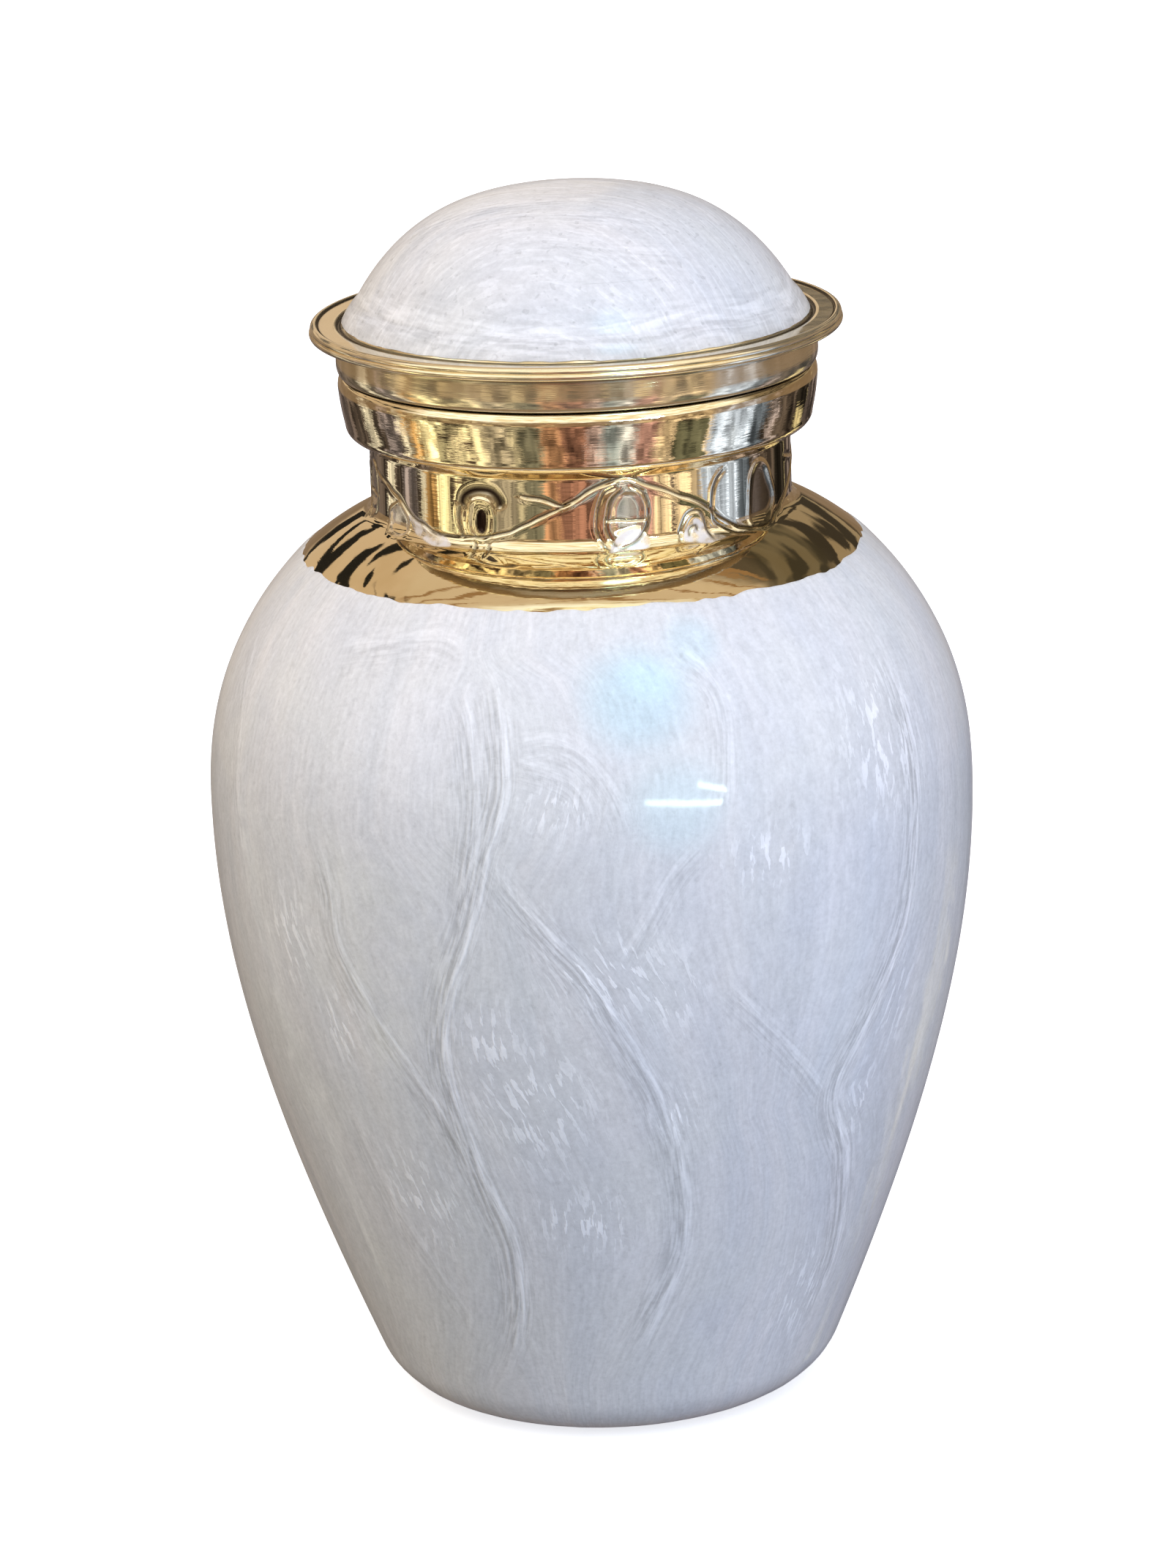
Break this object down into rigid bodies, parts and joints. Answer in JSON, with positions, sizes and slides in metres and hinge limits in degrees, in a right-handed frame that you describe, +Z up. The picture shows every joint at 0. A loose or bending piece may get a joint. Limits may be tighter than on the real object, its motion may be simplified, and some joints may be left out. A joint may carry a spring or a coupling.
{
  "type": "cremation urn",
  "caption": "Round hollow brass urn with a tapering enamelled belly, an engraved waisted neck and a lift-off domed lid with a rolled lip.",
  "frame": {"origin": "centre of the foot ring's underside, where the urn's turning axis meets the surface it stands on", "axes": "+Z up along the turning axis, -Y towards the side that the picture shows, +X to that side's right"},
  "size_m": [0.159, 0.159, 0.2549],
  "materials": {
    "pearl_enamel": "brushed pearl-white enamel over brass",
    "polished_brass": "mirror-polished and lacquered"
  },
  "bodies": {
    "root": {"urn_body": "pearl_enamel", "urn_lid": "polished_brass"}
  },
  "joints": []
}
